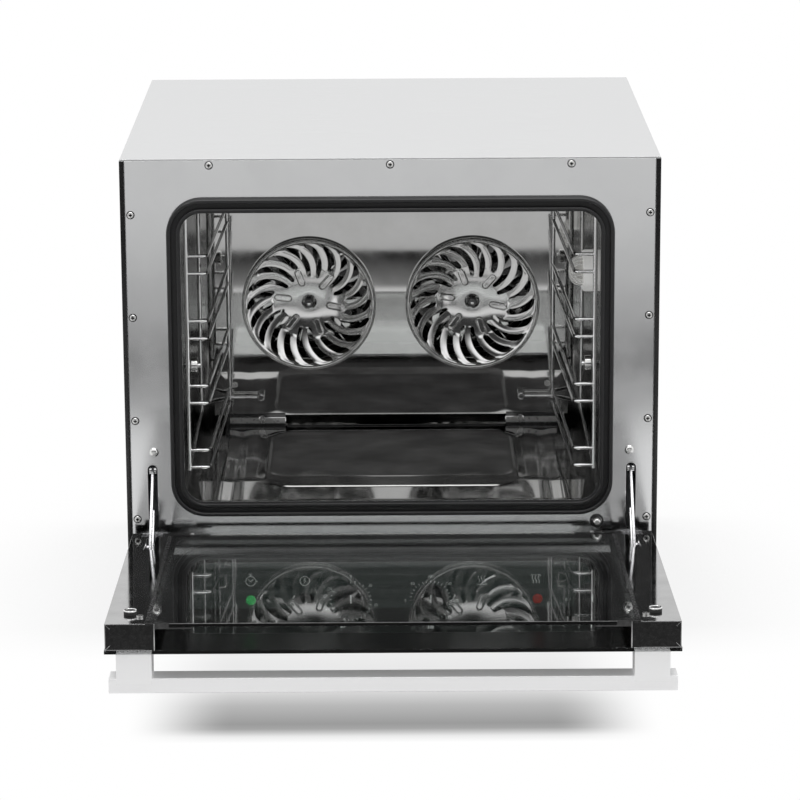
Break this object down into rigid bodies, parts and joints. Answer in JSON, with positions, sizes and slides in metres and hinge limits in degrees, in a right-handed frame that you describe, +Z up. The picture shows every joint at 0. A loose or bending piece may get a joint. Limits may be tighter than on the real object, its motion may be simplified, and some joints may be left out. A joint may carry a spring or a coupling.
{
  "type": "convection oven",
  "caption": "Countertop convection oven with a drop-down glass door, twin fans behind swirl-slotted guards, chromed tray racks, a side lamp and turned dials under the door.",
  "frame": {"origin": "on the bench under the middle of the oven's box, door open", "axes": "+Z up, +Y to the oven's back, +X to the viewer's right when facing the open door"},
  "size_m": [0.595, 1.0128, 0.57],
  "materials": {
    "casing_steel": "satin brushed stainless sheet",
    "frame_steel": "satin brushed stainless sheet",
    "galvanised_steel": "plain galvanised sheet",
    "polished_steel": "mirror-polished stainless sheet",
    "chromed_wire": "bright chrome plate",
    "plated_screws": "bright plated steel",
    "hinge_steel": "bright plated steel",
    "gasket_rubber": "matte black silicone rubber",
    "foot_rubber": "matte black rubber",
    "door_steel": "satin brushed stainless sheet",
    "door_glass": "clear toughened glass with black printed borders",
    "lamp_glass": "ribbed clear heat-resistant glass",
    "lamp_parts": "white glazed ceramic",
    "handle_metal": "satin anodised",
    "panel_black": "gloss black panel with white printed marks",
    "knob_black": "fine matte black",
    "button_black": "gloss black",
    "pilot_green": "translucent green lens",
    "pilot_red": "translucent red lens",
    "switch_plastic": "moulded dark plastic",
    "motor_paint": "black enamel",
    "element_steel": "heat-darkened steel sheath",
    "mineral_wool": "pale mineral fibre blanket"
  },
  "bodies": {
    "oven_body": {"casing_cover": "casing_steel", "front_frame": "frame_steel", "rear_panel": "galvanised_steel", "base_pan": "galvanised_steel", "feet": "foot_rubber", "control_panel": "panel_black", "control_units": "switch_plastic", "button_switch": "switch_plastic", "pilot_lamp_green": "pilot_green", "pilot_lamp_red": "pilot_red", "frame_screws": "plated_screws", "dome_screws": "plated_screws", "door_gasket": "gasket_rubber", "door_switch_body": "switch_plastic", "chamber_shell": "polished_steel", "chamber_back": "polished_steel", "insulation_jacket": "mineral_wool", "rear_insulation": "mineral_wool", "fan_baffle": "polished_steel", "baffle_standoffs": "galvanised_steel", "baffle_brackets": "polished_steel", "baffle_screws": "plated_screws", "fan_guard_left": "polished_steel", "fan_guard_right": "polished_steel", "fan_motor_left": "motor_paint", "fan_motor_right": "motor_paint", "heating_element_left": "element_steel", "heating_element_right": "element_steel", "tray_rack_left": "chromed_wire", "tray_rack_right": "chromed_wire", "rack_fixings": "plated_screws", "thumb_nuts": "plated_screws", "lamp_collar": "plated_screws", "lamp_glass": "lamp_glass", "lamp_bulb": "lamp_parts", "hinge_housings": "galvanised_steel", "hinge_brackets": "hinge_steel", "vent_pipe": "galvanised_steel", "cable_gland": "switch_plastic", "terminal_block": "lamp_parts"},
    "door": {"door_channel_left": "door_steel", "door_channel_right": "door_steel", "door_outer_glass": "door_glass", "door_inner_glass": "door_glass", "glass_clips": "hinge_steel", "hinge_pins": "hinge_steel", "door_bumpers": "foot_rubber", "cap_screws": "plated_screws", "handle_bar": "handle_metal", "handle_brackets": "handle_metal"},
    "stay_arm_left": {"hinge_arm_left": "hinge_steel"},
    "stay_arm_right": {"hinge_arm_right": "hinge_steel"},
    "timer_dial": {"timer_knob": "knob_black"},
    "thermostat_dial": {"thermostat_knob": "knob_black"},
    "selector_dial": {"selector_knob": "knob_black"},
    "button": {"push_button": "button_black"},
    "switch_plunger": {"door_switch_plunger": "plated_screws"},
    "fan_left": {"fan_wheel_left": "polished_steel"},
    "fan_right": {"fan_wheel_right": "polished_steel"}
  },
  "joints": [
    {"name": "door_hinge", "type": "hinge", "parent": "oven_body", "child": "door", "pos_m": [0, -0.10165, 0.133], "axis": [-1, 0, 0], "range_deg": [0, 86.6]},
    {"name": "stay_arm_left_pivot", "type": "hinge", "parent": "door", "child": "stay_arm_left", "pos_m": [-0.268, -0.14944, 0.13784], "axis": [1, 0, 0], "range_deg": [0, 61.2]},
    {"name": "stay_arm_right_pivot", "type": "hinge", "parent": "door", "child": "stay_arm_right", "pos_m": [0.268, -0.14944, 0.13784], "axis": [1, 0, 0], "range_deg": [0, 61.2]},
    {"name": "timer_turn", "type": "hinge", "parent": "oven_body", "child": "timer_dial", "pos_m": [-0.047, -0.07565, 0.056], "axis": [0, 1, 0], "range_deg": [0, 300]},
    {"name": "thermostat_turn", "type": "hinge", "parent": "oven_body", "child": "thermostat_dial", "pos_m": [0.043, -0.07565, 0.056], "axis": [0, 1, 0], "range_deg": [0, 270]},
    {"name": "selector_turn", "type": "hinge", "parent": "oven_body", "child": "selector_dial", "pos_m": [0.225, -0.07565, 0.056], "axis": [0, 1, 0], "range_deg": [0, 270]},
    {"name": "button_press", "type": "slide", "parent": "oven_body", "child": "button", "axis": [0, 1, 0], "range_m": [0, 0.003], "stiffness_N_per_m": 400},
    {"name": "switch_press", "type": "slide", "parent": "oven_body", "child": "switch_plunger", "axis": [0, 1, 0], "range_m": [0, 0.004], "stiffness_N_per_m": 400},
    {"name": "fan_left_spin", "type": "hinge", "parent": "oven_body", "child": "fan_left", "pos_m": [-0.0988, 0.31935, 0.329], "axis": [0, 1, 0], "continuous": true},
    {"name": "fan_right_spin", "type": "hinge", "parent": "oven_body", "child": "fan_right", "pos_m": [0.0988, 0.31935, 0.329], "axis": [0, 1, 0], "continuous": true}
  ],
  "couplings": [
    {"joint": "stay_arm_left_pivot", "follows": "door_hinge", "ratio": 0.7067},
    {"joint": "stay_arm_right_pivot", "follows": "door_hinge", "ratio": 0.7067}
  ]
}
